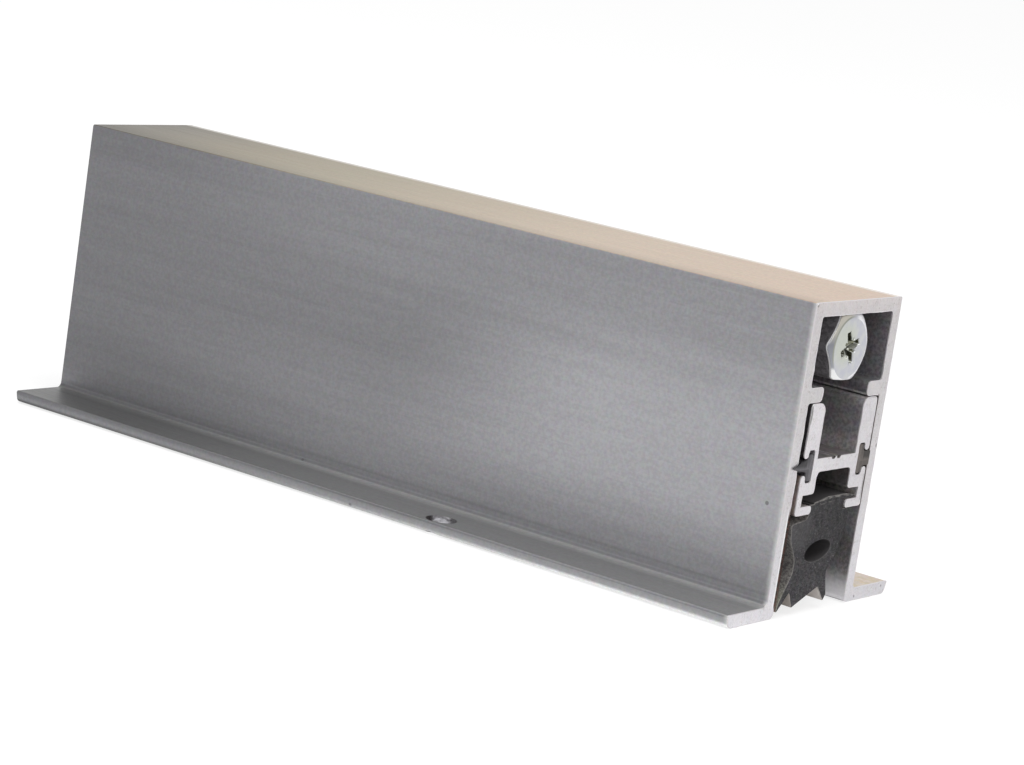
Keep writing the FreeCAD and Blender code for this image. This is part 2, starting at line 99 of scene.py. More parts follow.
class Nodes:
    """A node tree, built by short calls."""

    def __init__(self, tree):
        self.tree = tree

    def join(self, value, socket):
        """Links a node's output or sets a fixed value. One number fills all three parts of a vector."""
        if isinstance(value, bpy.types.NodeSocket):
            self.tree.links.new(value, socket)
        elif socket.type == "VECTOR":
            socket.default_value = (value,) * 3 if isinstance(value, (int, float)) else value[:3]
        else:
            socket.default_value = value

    def math(self, operation, first, second=0.0, clamp=False):
        node = self.tree.nodes.new("ShaderNodeMath")
        node.operation = operation
        node.use_clamp = clamp
        self.join(first, node.inputs[0])
        self.join(second, node.inputs[1])
        return node.outputs[0]

    def times(self, *values):
        """Product of masks and numbers."""
        product = values[0]
        for value in values[1:]:
            product = self.math("MULTIPLY", product, value)
        return product


class Graph(Nodes):
    """A material's nodes. Places are in millimetres."""

    def __init__(self, name):
        self.material = bpy.data.materials.new(name)
        self.material.use_nodes = True
        super().__init__(self.material.node_tree)
        self.shader = self.tree.nodes["Principled BSDF"]
        source = self.tree.nodes.new("ShaderNodeTexCoord")
        self.place = self.vector("MULTIPLY", source.outputs["Object"], 1 / MM)
        self.x, self.y, self.z = self.split(self.place)
        self.out_x, _, self.out_z = self.split(source.outputs["Normal"])
        # Distance from the middle plane, and how far a face looks along X, either way
        self.aside = self.math("ABSOLUTE", self.y)
        self.faces_end = self.math("ABSOLUTE", self.out_x)

    def split(self, vector):
        node = self.tree.nodes.new("ShaderNodeSeparateXYZ")
        self.join(vector, node.inputs[0])
        return node.outputs

    def vector(self, operation, first, second, output="Vector"):
        node = self.tree.nodes.new("ShaderNodeVectorMath")
        node.operation = operation
        self.join(first, node.inputs[0])
        self.join(second, node.inputs[1])
        return node.outputs[output]

    def above(self, value, limit):
        return self.math("GREATER_THAN", value, limit)

    def below(self, value, limit):
        return self.math("LESS_THAN", value, limit)

    def step(self, value, start, end, kind="SMOOTHSTEP"):
        """0 at start, 1 at end, smooth between them, whichever is the larger."""
        node = self.tree.nodes.new("ShaderNodeMapRange")
        node.interpolation_type = kind
        self.join(value, node.inputs["Value"])
        node.inputs["From Min"].default_value = start
        node.inputs["From Max"].default_value = end
        return node.outputs["Result"]

    def band(self, value, start, full, fading, end):
        """1 from full to fading, 0 before start and after end."""
        return self.times(self.step(value, start, full), self.step(value, end, fading))

    def noise(self, per_mm, detail, rough, shift=0.0, output="Fac"):
        """Cloudy value from 0 to 1, or a colour; per_mm is how many features fit in a millimetre."""
        moved = self.vector("MULTIPLY", self.place, per_mm)
        moved = self.vector("ADD", moved, (shift, shift * 0.7, shift * 1.3))
        node = self.tree.nodes.new("ShaderNodeTexNoise")
        self.join(moved, node.inputs["Vector"])
        node.inputs["Scale"].default_value = 1.0
        node.inputs["Detail"].default_value = detail
        node.inputs["Roughness"].default_value = rough
        return node.outputs[output]

    def ramp(self, value, stops):
        """Colour along a run of places: stops give a colour or a grey level at each, lowest first."""
        low, high = min(stops), max(stops)
        node = self.tree.nodes.new("ShaderNodeValToRGB")
        self.join(self.step(value, low, high, "LINEAR"), node.inputs["Fac"])
        elements = node.color_ramp.elements
        while len(elements) < len(stops):
            elements.new(0.5)
        for element, (place, shade) in zip(elements, stops.items()):
            element.position = (place - low) / (high - low)
            element.color = grey(shade) if isinstance(shade, int) else shade
        return node.outputs["Color"]

    def mix(self, share, first, second):
        node = self.tree.nodes.new("ShaderNodeMix")
        node.data_type = "RGBA"
        self.join(share, node.inputs["Factor"])
        self.join(first, node.inputs["A"])
        self.join(second, node.inputs["B"])
        return node.outputs["Result"]

    def distance(self, place, axes):
        """Distance in millimetres from a place, along some of the axes."""
        seen = [part * share for part, share in zip(place, axes)]
        return self.vector("DISTANCE", self.vector("MULTIPLY", self.place, axes), seen, "Value")

    def near(self, place, radius, axes=(1, 1, 1)):
        """1 at a place, 0 further off than a radius."""
        return self.step(self.distance(place, axes), radius, radius * 0.5)

    def bump(self, height, depth, strength=1.0):
        """Height is from 0 to 1, depth in millimetres."""
        node = self.tree.nodes.new("ShaderNodeBump")
        node.inputs["Strength"].default_value = strength
        node.inputs["Distance"].default_value = depth * MM
        self.join(height, node.inputs["Height"])
        self.join(node.outputs["Normal"], self.shader.inputs["Normal"])

    def finish(self, shade, rough, metallic=0.0, specular=0.5):
        self.join(shade, self.shader.inputs["Base Color"])
        self.join(rough, self.shader.inputs["Roughness"])
        self.shader.inputs["Metallic"].default_value = metallic
        self.shader.inputs["Specular IOR Level"].default_value = specular
        return self.material


# What several materials share

def brushing(g, along=0.05, across=5.0):
    """Fine lines left along an extrusion, from 0 to 1."""
    fine = g.noise((along, across, across), 4.0, 0.7)
    broad = g.noise((along * 0.4, across * 0.22, across * 0.22), 3.0, 0.6, 11.0)
    return g.math("ADD", g.times(fine, 0.6), g.times(broad, 0.4))


def toned(g, shade, value, amount):
    """Lightens or darkens a shade about the middle of a value from 0 to 1."""
    factor = g.math("ADD", g.times(g.math("SUBTRACT", value, 0.5), amount), 1.0)
    return g.vector("MULTIPLY", shade, factor)


def scaled(g, shade, where, factor):
    """Multiplies a shade where a mask is 1: under 1 it gets darker, over 1 lighter."""
    return g.mix(where, shade, g.vector("MULTIPLY", shade, factor))


def grainy(g, shade, per_mm, amount, shift=0.0):
    """Small spots of a lighter and a darker tone, about as much of one as of the other."""
    spots = g.step(g.noise(per_mm, 2.0, 0.6, shift), 0.34, 0.66)
    return toned(g, shade, spots, amount)


def mottled(g, shade, per_mm, amount):
    """Lets each colour of a shade wander a little, in soft spots."""
    spots = g.vector("MULTIPLY", g.noise(per_mm, 2.0, 0.6, output="Color"), amount)
    return g.vector("MULTIPLY", shade, g.vector("ADD", spots, 1 - amount / 2))


def dulled(g, shade, wander, grain):
    """Uneven, cloudy aluminium, as on faces that lie in the channel's shade."""
    lined = toned(g, shade, brushing(g, 0.08, 2.5), 0.3)
    return grainy(g, mottled(g, lined, 0.9, wander), 2.4, grain, 23.0)


def sawn_face(g, body):
    """Bright cut end of an extrusion, with fine saw lines, thin scratches and a few dark specks."""
    lines = g.noise((1.0, 0.35, 9.0), 3.0, 0.6, 5.0)
    cloud = g.noise(0.5, 3.0, 0.5, 9.0)
    shade = toned(g, toned(g, body, lines, 0.1), cloud, 0.16)
    shade = grainy(g, mottled(g, shade, 1.3, 0.09), 3.4, 0.1, 41.0)
    scratch = g.math("SUBTRACT", g.noise((0.3, 0.5, 0.5), 3.0, 0.6, 31.0), 0.52)
    scratch = g.step(g.math("ABSOLUTE", scratch), 0.006, 0.001)
    shade = g.mix(g.times(scratch, 0.5), shade, colour(140, 130, 120))
    specks = g.step(g.noise(2.6, 2.0, 0.5, 3.0), 0.72, 0.77)
    return g.mix(g.times(specks, 0.8), shade, colour(132, 124, 118))


def edge_gap_shadow(g):
    """Painted gap shadow, brownish, on the wall's edge beside the drop bar and, broken by near-black
    patches, beside the seal.
    """
    inner = g.step(g.aside, 9.2, 9.0)
    beside_seal = g.times(inner, g.step(g.y, -8.0, -8.1), g.band(g.z, 0.9, 1.6, 12.0, 14.0))
    beside_bar = g.times(g.band(g.y, 8.1, 8.2, 8.4, 8.5), g.band(g.z, 10.0, 12.6, 25.9, 26.2), 0.7)
    black_patches = g.step(g.noise((1.0, 0.5, 2.6), 2.0, 0.6, 33.0), 0.46, 0.54)
    seal_gap_shade = g.mix(black_patches, colour(88, 60, 54), colour(24, 19, 19))
    shade = g.mix(beside_seal, colour(76, 58, 52), seal_gap_shade)
    return g.math("MAXIMUM", beside_seal, beside_bar), shade


# Housing

def side_shade(g):
    """Brushed walls with painted light, lighter towards the plunger's end, painted shade at the fillet and a
    painted glow by the cut end, with the near flange's edge below them.
    """
    # Painted light: the walls' grey varies up the wall and grows lighter towards the plunger's end
    far_end = g.ramp(g.z, {
        0: 124, 2.3: 118, 3: 125, 5: 117, 8: 114, 12: 120, 24: 121, 33: 123, 38: 119,
    })
    middle = g.ramp(g.z, {
        0: 140, 2.3: 140, 2.8: 142, 3.05: 129, 3.3: 144, 5: 142, 8: 135, 12: 139, 16: 133, 20: 132,
        24: 132, 28: 139, 38: 145,
    })
    near_end = g.ramp(g.z, {
        0: 148, 2.3: 146, 2.8: 147, 3.05: 134, 3.3: 149, 5: 144, 8: 153, 12: 166, 20: 170, 24: 167,
        27: 160, 31: 150, 38: 148,
    })
    slant = g.math("SUBTRACT", g.x, g.times(g.math("SUBTRACT", g.z, 18.0), 0.4))
    side = g.mix(g.step(g.x, -56, 6), far_end, middle)
    side = g.mix(g.step(slant, -4, 32), side, near_end)
    side = g.mix(0.5, side, toned(g, side, g.noise((0.02, 0.4, 0.4), 2.0, 0.5, 21.0), 0.3))
    # Painted light and shade in bands down the near flange's outer edge
    flange_strip = g.mix(
        g.step(g.x, 5, 34),
        g.ramp(g.z, {0: 138, 0.5: 144, 0.95: 137, 1.25: 122, 1.5: 112}),
        g.ramp(g.z, {0: 136, 0.5: 143, 0.9: 136, 1.25: 124, 1.5: 138}),
    )
    side = g.mix(g.step(g.y, flange_edge + 1.0, flange_edge + 0.2), side, flange_strip)
    side = g.vector("MULTIPLY", side, (1.0, 0.994, 1.045))
    # Painted shade on the fillet at the wall's foot
    side = scaled(g, side, g.times(g.step(g.out_z, 0.05, 0.4), g.band(g.z, 1.61, 1.7, 3.0, 4.0)), 0.62)
    # Painted glow along the side next to the cut end
    painted_end_glow = g.step(g.x, housing_end - 0.75, housing_end)
    return g.mix(g.times(painted_end_glow, 0.8), side, grey(206))


def top_shade(g):
    """Top with a painted warm reflection, painted lighter towards the plunger's end and darker near its left
    edge and at the far end, with a pale strip along its right edge.
    """
    # Painted reflection and light: warm tint, lighter towards the plunger's end
    top = g.ramp(g.x, {
        -58: colour(108, 103, 93), -46: colour(130, 122, 106), -36: colour(143, 133, 113),
        -20: colour(157, 147, 126), 0: colour(175, 161, 141), 20: colour(191, 174, 155),
        57: colour(199, 178, 160),
    })
    # Painted shade near the left edge and towards the far end
    top = scaled(g, top, g.step(g.y, -5.5, -wall_face), 0.82)
    top = scaled(g, top, g.times(g.step(g.y, -1.0, -9.0), g.step(g.x, -10, -50)), 0.78)
    pale = g.ramp(g.x, {-58: colour(189, 186, 179), 0: colour(207, 200, 191), 57: colour(224, 217, 210)})
    return g.mix(g.step(g.y, inner_wall, 9.1), top, pale)


def flange_shade(g):
    """Tops of the flanges: the near one grey, painted lighter towards the plunger's end, with a painted
    highlight on the fillet and painted shade by its edge; the far one warm.
    """
    # Painted light: the near flange grows lighter towards the plunger's end
    near = g.ramp(g.x, {-58: 110, -40: 117, -20: 139, 0: 150, 30: 150, 57: 161})
    fillet_highlight = g.times(g.step(g.y, -12.2, -11.0), g.step(g.out_z, 0.86, 0.96))
    near = scaled(g, near, fillet_highlight, 1.4)
    # Painted shade by the near flange's outer edge
    near = scaled(g, near, g.step(g.y, flange_edge + 1.3, flange_edge + 0.3), 0.93)
    cloud = g.step(g.noise(0.5, 3.0, 0.6, 13.0), 0.46, 0.62)
    far = g.mix(cloud, colour(203, 189, 177), colour(197, 182, 158))
    return g.mix(g.step(g.y, 0.0, 1.0), near, far)


def inside_shade(g):
    """Dull inside with painted light: lighter by the mouth, ledges painted pale below, painted bands on the
    right wall, painted pale feet of both walls and a painted gap shadow beside the bar.
    """
    deep = colour(136, 133, 136)
    # Painted light: lighter by the mouth, where light comes in
    dull_painted_light = g.mix(g.step(g.x, mouth_x, mouth_x - 6.3), colour(156, 152, 156), deep)
    ledge = g.band(g.z, ledge_low - 1.1, ledge_low - 0.8, ledge_high - 0.1, ledge_high + 0.2)
    ledge = g.times(ledge, g.below(g.aside, 8.0))
    dull_painted_light = g.mix(ledge, dull_painted_light, deep)
    # Painted light under the ledges and at their foot
    dull_painted_light = g.mix(g.times(ledge, g.step(g.out_z, -0.2, -0.6)), dull_painted_light, grey(220))
    ledge_foot_light = g.times(ledge, g.step(g.z, ledge_low + 0.4, ledge_low + 0.1), 0.6)
    dull_painted_light = g.mix(ledge_foot_light, dull_painted_light, colour(200, 196, 200))
    right_wall = g.step(g.y, 7.9, 8.1)
    # Painted shade and light in bands up the right wall
    dull_painted_light = scaled(g, dull_painted_light, g.times(right_wall, g.band(g.z, 2.5, 4.5, 7.0, 9.5)), 0.75)
    dull_painted_light = scaled(g, dull_painted_light, g.times(right_wall, g.band(g.z, 8.5, 10.0, 12.4, 13.0)), 1.25)
    dull_painted_light = dulled(g, dull_painted_light, 0.45, 0.45)
    # Painted light from the floor on the feet of the walls
    wall_foot_light = g.times(g.step(g.z, 4.4, 0.6), g.step(g.x, mouth_x - 15.3, mouth_x), 0.8)
    dull_painted_light = g.mix(wall_foot_light, dull_painted_light, colour(218, 217, 220))
    # Painted gap shadow, dark brown, on the right wall beside the bar near its end
    wall_gap_shadow = g.times(
        g.step(g.y, 8.0, 8.1), g.band(g.z, 12.0, 12.6, 25.9, 26.2),
        g.step(g.x, housing_end - 1.2, housing_end - 0.7), 0.95,
    )
    return g.mix(wall_gap_shadow, dull_painted_light, colour(58, 42, 36))


def with_hole(g, shade):
    """The near flange's hole: its bore painted bright with patches of painted reflection, and painted dark
    reflections at two sides of its rim.
    """
    reach = g.distance(hole_place, FROM_ABOVE)
    bore = g.times(g.step(reach, 2.1, 1.95), g.step(g.out_z, 0.8, 0.5))
    bore_reflection = g.step(g.noise((0.9, 0.9, 1.6), 3.0, 0.6, 44.0), 0.36, 0.6)
    shade = g.mix(bore, shade, g.mix(bore_reflection, colour(140, 138, 142), colour(222, 221, 226)))
    along = g.times(g.math("SUBTRACT", g.x, hole_place[0]), 0.81)
    across = g.math("ADD", along, g.times(g.math("SUBTRACT", g.y, hole_place[1]), 0.59))
    # Painted dark reflections at two sides of the hole's rim
    dark_reflections = g.math("MAXIMUM", g.times(g.step(across, 0.75, 1.5), 0.8), g.step(across, -0.8, -1.45))
    return g.mix(g.times(g.step(reach, 2.06, 1.9), dark_reflections, 0.92), shade, colour(40, 31, 30))


def cut_shade(g):
    """Sawn end of the housing, a little lighter low on the left, with painted gap shadow on the inner edges
    and a painted highlight beside the left one.
    """
    cut = g.ramp(g.z, {
        0: colour(211, 209, 213), 3: colour(210, 207, 211), 8: colour(207, 205, 208),
        14: colour(202, 199, 201), 20: colour(203, 200, 202), 26: colour(199, 196, 197),
        36: colour(197, 193, 194), 38: colour(204, 198, 198),
    })
    cut = g.mix(g.step(g.z, 6.0, 2.0), cut, toned(g, cut, g.step(g.y, 14.0, -14.0), 0.16))
    cut = sawn_face(g, cut)
    # Painted gap shadow beside the bar and the seal, with a painted highlight by the seal
    gap_shadow, gap_shadow_shade = edge_gap_shadow(g)
    left_edge_highlight = g.times(g.step(g.y, 0.0, -1.0), g.step(g.y, -inner_wall - 0.5, -inner_wall - 0.4))
    cut = g.mix(g.times(gap_shadow, left_edge_highlight, 0.7), cut, grey(250))
    edge = g.step(g.aside, inner_wall + 0.26, inner_wall + 0.16)
    return g.mix(g.times(gap_shadow, edge), cut, gap_shadow_shade)


def with_marks(g, shade):
    """Small dark nicks, a bright worn corner and a faint smear on the top."""
    nicks = [
        ((55.1, -wall_face, 13.65), 0.34), ((0.87, -18.4, 0.4), 0.4), ((mouth_x, 9.9, 19.6), 0.34),
        ((mouth_x, 10.7, 0.5), 0.25), ((mouth_x, 17.2, 1.1), 0.22), ((-14.0, -wall_face, 1.9), 0.3),
        ((mouth_x + 0.2, -9.72, 37.66), 0.3),
    ]
    for place, radius in nicks:
        shade = g.mix(g.times(g.near(place, radius), 0.6), shade, colour(72, 68, 68))
    corner = g.near((mouth_x + 0.2, 0.1 - wall_face, roof_top), 0.4)
    shade = g.mix(g.times(corner, 0.8), shade, grey(255))
    smear = g.step(g.noise((0.6, 0.9, 1.0), 3.0, 0.6, 4.0), 0.5, 0.62)
    smear = g.times(g.near((5.8, -4.5, roof_top), 2.2), smear, 0.35)
    return g.mix(smear, shade, colour(150, 124, 106))


def housing_material():
    """Mill-finish aluminium with painted light and shade: grey brushed sides, warm top, bright cut ends and
    a dull, dark inside.
    """
    g = Graph("mill_aluminium")
    upper = g.mix(g.step(g.z, 20, 25), flange_shade(g), top_shade(g))
    shade = g.mix(g.step(g.out_z, 0.55, 0.85), side_shade(g), upper)
    # Painted light on the near flange's downward edge, rising to near white towards the plunger's end
    lower_edge_light = g.ramp(g.x, {-58: 80, -30: 112, -14: 150, -2: 186, 10: 200, 22: 222, 34: 246, 57: 252})
    downward = g.times(g.step(g.out_z, -0.1, -0.75), g.step(g.y, flange_edge + 1.1, flange_edge + 0.6))
    shade = g.mix(downward, shade, lower_edge_light)
    shade = grainy(g, mottled(g, toned(g, shade, brushing(g), 0.36), 1.1, 0.12), 2.3, 0.11, 19.0)
    inside = g.times(g.below(g.aside, 8.5), g.below(g.z, 36.6))
    shade = g.mix(inside, mottled(g, shade, 1.9, 0.2), inside_shade(g))
    shade = with_hole(g, shade)
    end = g.times(g.step(g.faces_end, 0.6, 0.8), g.above(g.math("ABSOLUTE", g.x), housing_end - 0.3))
    shade = with_marks(g, g.mix(end, shade, cut_shade(g)))
    rough = g.math("ADD", 0.36, g.times(g.noise((0.1, 2.0, 2.0), 3.0, 0.6, 2.0), 0.16))
    g.bump(brushing(g, 0.06, 6.0), 0.012)
    return g.finish(shade, rough, 0.75)


# Drop bar

def drill_notches(g):
    """1 in the two notches that the drill lines leave in the web's cut edge, which get painted shade."""
    aside = g.math("SUBTRACT", g.aside, 0.6)
    rise = g.times(g.math("SUBTRACT", g.z, web_top), 1.5)
    reach = g.math("SQRT", g.math("ADD", g.times(aside, aside), g.times(rise, rise)))
    return g.step(reach, 0.5, 0.42)


def carrier_face(g):
    """Sawn end of the drop bar, with painted brownish gap shadow along two edges, painted shade in the web's
    two notches and a small smudge.
    """
    face = toned(g, sawn_face(g, colour(208, 205, 208)), g.step(g.y, 8.0, -8.0), 0.08)
    # Painted gap shadow, brownish, along the top edge's right half and low on the right side
    over = g.times(g.step(g.z, bar_top - 0.14, bar_top - 0.06), g.above(g.y, 0.0))
    outer = g.times(g.step(g.y, 7.42, 7.5), g.band(g.z, 12.9, 13.3, 16.1, 16.4))
    face = g.mix(g.times(g.math("MAXIMUM", over, outer), 0.85), face, colour(72, 50, 43))
    # Painted shade in the web's notches
    face = g.mix(drill_notches(g), face, colour(74, 68, 66))
    smudge = g.step(g.distance((0, -7.55, 24.6), (0, 1, 0.25)), 0.42, 0.22)
    return g.mix(g.times(smudge, 0.8), face, colour(92, 94, 90))


def carrier_material():
    """Drop bar: bright sawn ends; the rest dull, painted lighter where the channel shades it, with painted
    highlights along the top and painted shade and light beside the walls.
    """
    g = Graph("carrier_aluminium_dull")
    # Painted light: lighter low down and deeper in, against the channel's shade
    low = g.step(g.z, 22.2, 19.8)
    mouth = g.mix(low, colour(160, 157, 160), colour(186, 181, 183))
    deep = g.mix(low, colour(164, 161, 164), colour(214, 210, 212))
    dull_painted_light = g.mix(g.step(g.x, mouth_x + 0.4, mouth_x - 5.3), mouth, deep)
    # Painted highlights along the top
    dull_painted_light = g.mix(g.times(g.step(g.z, bar_top - 1.4, bar_top - 0.7), 0.8), dull_painted_light, colour(168, 164, 166))
    dull_painted_light = g.mix(g.times(g.step(g.z, bar_top - 0.35, bar_top - 0.1), 0.6), dull_painted_light, grey(190))
    web_face = g.times(g.step(g.z, web_top + 0.7, web_top + 0.2), g.step(g.out_z, 0.6, 0.9))
    dull_painted_light = g.mix(web_face, dull_painted_light, colour(140, 134, 134))
    # Painted light in the seal's slot and, near the end, its recess
    slot = g.times(g.below(g.z, 17.6), g.below(g.aside, 6.6))
    slot_shade = g.mix(g.step(g.y, 2.6, 3.4), colour(150, 146, 144), colour(110, 106, 105))
    dull_painted_light = g.mix(slot, dull_painted_light, g.mix(g.step(g.z, 15.3, 14.9), slot_shade, colour(164, 160, 156)))
    near_end = g.step(g.x, bar_end - 4.0, bar_end - 1.0)
    recess = g.times(slot, g.step(g.z, 15.2, 15.0), g.step(g.aside, 4.1, 4.3), near_end)
    dull_painted_light = g.mix(recess, dull_painted_light, colour(214, 208, 206))
    # Beside the walls: painted shade above, painted light below
    outer_shade = g.mix(g.step(g.z, 19.0, 16.5), colour(71, 67, 69), colour(178, 161, 154))
    dull_painted_light = g.mix(g.above(g.aside, 7.3), dull_painted_light, outer_shade)
    shade = g.mix(g.step(g.faces_end, 0.6, 0.8), dulled(g, dull_painted_light, 0.4, 0.42), carrier_face(g))
    g.bump(brushing(g, 0.08, 4.0), 0.01)
    return g.finish(shade, 0.42, 0.7)


# Screw

def recess_shade(g):
    """Inside of the cross recess: upward walls painted bright as glints, downward ones painted dark as
    shade, a dull floor and a few darker spots.
    """
    glint = g.mix(g.step(g.out_z, -0.3, 0.3), colour(44, 44, 32), colour(232, 234, 226))
    glint = g.mix(g.step(g.out_x, 0.7, 0.9), glint, colour(150, 150, 128))
    spots = g.step(g.noise((1.5, 2.6, 3.2), 2.0, 0.5, 17.0), 0.53, 0.58)
    return g.mix(spots, glint, colour(84, 84, 66))


def zinc_material():
    """Bright zinc plating with a faint yellow-green passivation, painted light and shade on the chamfer, a
    painted dark line and a painted highlight round the face, and painted shade and light behind it.
    """
    g = Graph("zinc_plating")
    cloud = g.noise((0.6, 0.9, 0.9), 3.0, 0.5)
    shade = g.mix(g.step(cloud, 0.35, 0.65), colour(194, 195, 196), colour(184, 185, 194))
    green = g.near((0, head_middle[0] - 1.3, head_middle[1] + 0.5), 3.3, END_ON)
    shade = g.mix(g.times(green, 0.7), shade, colour(188, 192, 178))
    fine = g.noise((4.0, 6.0, 6.0), 4.0, 0.65, 6.0)
    shade = toned(g, shade, fine, 0.16)
    reach = g.distance((0, *head_middle), END_ON)
    height = g.math("SUBTRACT", g.z, screw_axis)
    front = g.above(g.x, head_face - 0.9)
    front_left = g.times(front, g.step(g.y, 1.0, -1.0))
    # Painted light and shade on the chamfer's left side: bright low down, darker in the middle
    bevel_light_and_shade = g.ramp(height, {
        -4: 234, -2.7: 226, -2.3: colour(150, 152, 158), 0.4: colour(128, 129, 136),
        1.6: colour(168, 166, 158), 4: colour(196, 191, 180),
    })
    shade = g.mix(g.times(front_left, g.step(reach, head_radius, head_radius + 0.06)), shade, bevel_light_and_shade)
    # Painted dark line where the face meets the chamfer
    ring = g.band(reach, head_radius - 0.1, head_radius, head_radius + 0.1, head_radius + 0.22)
    ring = g.times(front_left, ring, g.step(height, -2.6, -1.0))
    shade = g.mix(ring, shade, colour(146, 148, 138))
    # Painted highlight on the face's right rim
    right_rim_highlight = g.times(front, g.step(reach, head_radius - 0.22, head_radius - 0.14), g.step(g.y, 0.4, 1.6))
    shade = g.mix(g.times(right_rim_highlight, 0.85), shade, colour(240, 240, 242))
    sunk = g.times(g.step(g.x, head_face - 0.08, head_face - 0.25), g.above(g.x, head_face - 4))
    shade = g.mix(g.times(sunk, g.below(reach, 2.7)), shade, recess_shade(g))
    # Painted shade behind the face, and painted light on the flats
    behind = g.step(g.x, head_face - 0.75, head_face - 0.95)
    shade = g.mix(g.times(behind, 0.45), shade, colour(96, 98, 94))
    flats = g.times(g.above(g.x, head_back + 0.1), g.step(g.out_x, 0.4, 0.2), g.above(reach, 3.0), 0.92)
    shade = g.mix(flats, shade, grainy(g, colour(166, 162, 166), 2.2, 0.6, 23.0))
    rough = g.math("ADD", 0.24, g.times(fine, 0.14))
    g.bump(fine, 0.012, 0.5)
    return g.finish(shade, rough, 0.7)


# Rubber and vinyl

def seal_face(g, grain, cloud):
    """Sawn end of the seal: speckled black, darker high up and on the right."""
    face = g.mix(g.step(grain, 0.36, 0.66), colour(13, 12, 13), colour(61, 59, 62))
    face = mottled(g, toned(g, face, cloud, 0.9), 1.3, 0.5)
    face = toned(g, face, g.step(g.z, 9.5, 3.0), 0.34)
    face = toned(g, face, g.step(g.y, 4.5, 0.5), 0.2)
    dusty = g.near((0, -5.6, 10.6), 3.6, END_ON)
    return g.mix(g.times(dusty, 0.24), face, colour(98, 96, 98))


def seal_flank(g):
    """Sides of the seal: dusty, greenish and lighter at the fins near the end, with fin undersides painted
    pale, partly dust and partly painted floor light, and painted darker further in.
    """
    spots = g.step(g.noise((3.6, 3.0, 4.8), 3.0, 0.7, 27.0), 0.36, 0.64)
    flank = g.mix(spots, colour(80, 77, 77), colour(130, 127, 123))
    dusty_and_lit = g.step(g.x, seal_end - 9.0, seal_end - 5.0)
    green = g.vector("MULTIPLY", g.mix(0.4, flank, colour(128, 130, 108)), 1.25)
    flank = g.mix(g.times(dusty_and_lit, g.step(g.z, 4.5, 1.5)), flank, green)
    # Pale fin undersides near the end: partly dust, partly painted light from the floor
    painted_bright = g.times(g.step(g.z, 3.6, 3.0), g.above(g.y, -5.6), dusty_and_lit)
    painted_bright_shade = g.mix(g.step(g.y, 0.5, 2.0), colour(172, 164, 158), colour(216, 209, 204))
    flank = g.mix(painted_bright, flank, painted_bright_shade)
    # Painted shade: the flanks further in from the end are darker
    return g.mix(dusty_and_lit, g.vector("MULTIPLY", flank, 0.45), flank)


def crown_highlights(g):
    """1 in two broken lines of painted highlight that follow the top of the seal's head on the sawn face."""
    aside = g.math("SUBTRACT", g.y, 2.3)
    arch = g.math("SUBTRACT", 14.05, g.times(aside, aside, 0.0155))
    under_top = g.math("SUBTRACT", arch, g.z)
    broken = g.step(g.noise((0.5, 0.9, 0.5), 2.0, 0.6, 36.0), 0.35, 0.65)
    first = g.times(g.step(under_top, 0.24, 0.14), 0.62)
    second = g.times(g.band(under_top, 0.5, 0.58, 0.6, 0.7), g.step(g.y, 2.5, 0.5), 0.3)
    return g.times(g.math("MAXIMUM", first, second), broken, g.above(g.z, 13.0))


def rubber_material():
    """Black rubber with a speckled, sawn face, a painted highlight round the cut and paler flanks, and
    painted shade along the wall's edge, in the hole and on the head's top.
    """
    g = Graph("speckled_rubber")
    grain = g.noise((3.0, 2.5, 4.8), 4.0, 0.8)
    cloud = g.noise(0.45, 2.0, 0.5, 8.0)
    end = g.step(g.faces_end, 0.75, 0.97)
    shade = g.mix(end, seal_flank(g), seal_face(g, grain, cloud))
    # Painted highlight round the cut's edge
    patchy = g.math("ADD", 0.15, g.step(cloud, 0.4, 0.6))
    rim = g.math("MULTIPLY", g.band(g.faces_end, 0.15, 0.35, 0.75, 0.9), patchy, clamp=True)
    shade = g.mix(g.times(rim, 0.6), shade, colour(122, 120, 118))
    dust = g.times(g.step(g.noise((3.0, 2.7, 5.2), 2.0, 0.5, 14.0), 0.675, 0.72), end)
    shade = g.mix(g.times(dust, 0.5), shade, colour(124, 122, 120))
    # Painted brownish shade on the flank along a slanted line by the wall's edge
    wall_edge_shade = g.math("ADD", g.y, g.times(g.math("SUBTRACT", g.x, housing_end), 1.78))
    wall_edge_shade = g.band(wall_edge_shade, -8.9, -8.6, -8.0, -7.8)
    wall_edge_shade = g.times(wall_edge_shade, g.step(g.y, -4.0, -5.0), g.step(g.z, 13.0, 12.0), 0.6)
    shade = g.mix(wall_edge_shade, shade, colour(112, 78, 70))
    # Painted shade in the hole and on the head's top
    hole_reach = g.distance((0, *seal_hole_middle), END_ON)
    bore = g.times(g.below(hole_reach, 3.3), g.step(g.faces_end, 0.9, 0.7))
    head_top = g.times(g.above(g.z, 13.2), g.step(g.faces_end, 0.3, 0.15))
    shade = g.mix(g.math("MAXIMUM", bore, head_top), shade, colour(58, 56, 57))
    # Painted highlight along the top of the head on the cut face
    shade = g.mix(g.times(end, crown_highlights(g)), shade, colour(150, 146, 142))
    g.bump(grain, 0.035, 0.9)
    return g.finish(shade, 0.72, specular=0.35)


